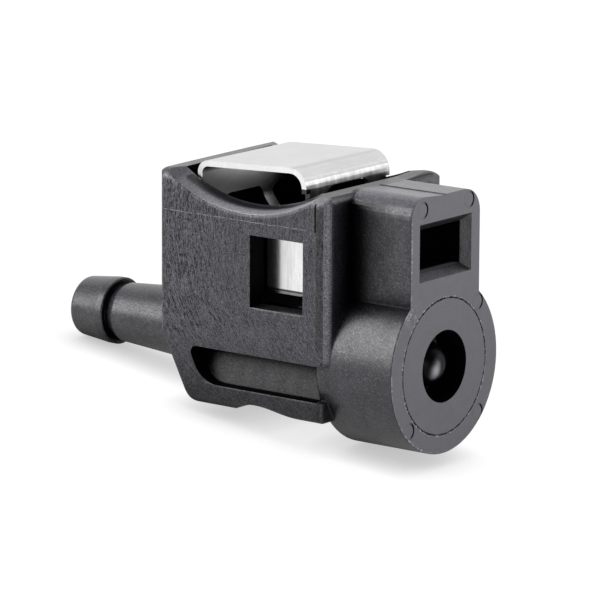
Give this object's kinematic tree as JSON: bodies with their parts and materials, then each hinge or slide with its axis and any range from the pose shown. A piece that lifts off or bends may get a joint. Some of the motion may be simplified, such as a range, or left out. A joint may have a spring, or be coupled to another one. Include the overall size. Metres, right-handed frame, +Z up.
{
  "type": "fuel line connector",
  "caption": "Moulded quick-release fuel line connector: barbed hose tail, round port with a sprung check valve, slot for a latch pin above it and a pressed steel locking clip on top.",
  "frame": {"origin": "centre of the fuel port's mouth, on the mating face", "axes": "+X out of the port along its bore, +Z up towards the locking clip, Y across; the hose tail points to -X"},
  "size_m": [0.0626, 0.0252, 0.0383],
  "materials": {
    "housing_plastic": "dark grey glass-filled nylon, satin with fine flow marks",
    "bush_plastic": "dark grey nylon, smooth",
    "seal_rubber": "black fuel-proof rubber",
    "plunger_plastic": "black, polished",
    "spring_steel": "bright drawn wire",
    "clip_steel": "bright stainless sheet, satin"
  },
  "bodies": {
    "body": {"housing": "housing_plastic", "front_bush": "bush_plastic", "o_ring": "seal_rubber", "valve_spring": "spring_steel", "clip_springs": "clip_steel"},
    "clip": {"latch_clip": "clip_steel"},
    "valve": {"valve_plunger": "plunger_plastic"}
  },
  "joints": [
    {"name": "clip_press", "type": "slide", "parent": "body", "child": "clip", "axis": [0, 0, -1], "range_m": [0, 0.003], "stiffness_N_per_m": 2000, "springref_m": -0.002, "deforming": ["clip_springs"]},
    {"name": "valve_open", "type": "slide", "parent": "body", "child": "valve", "axis": [-1, 0, 0], "range_m": [0, 0.003], "stiffness_N_per_m": 300, "springref_m": -0.005, "deforming": ["valve_spring"]}
  ]
}
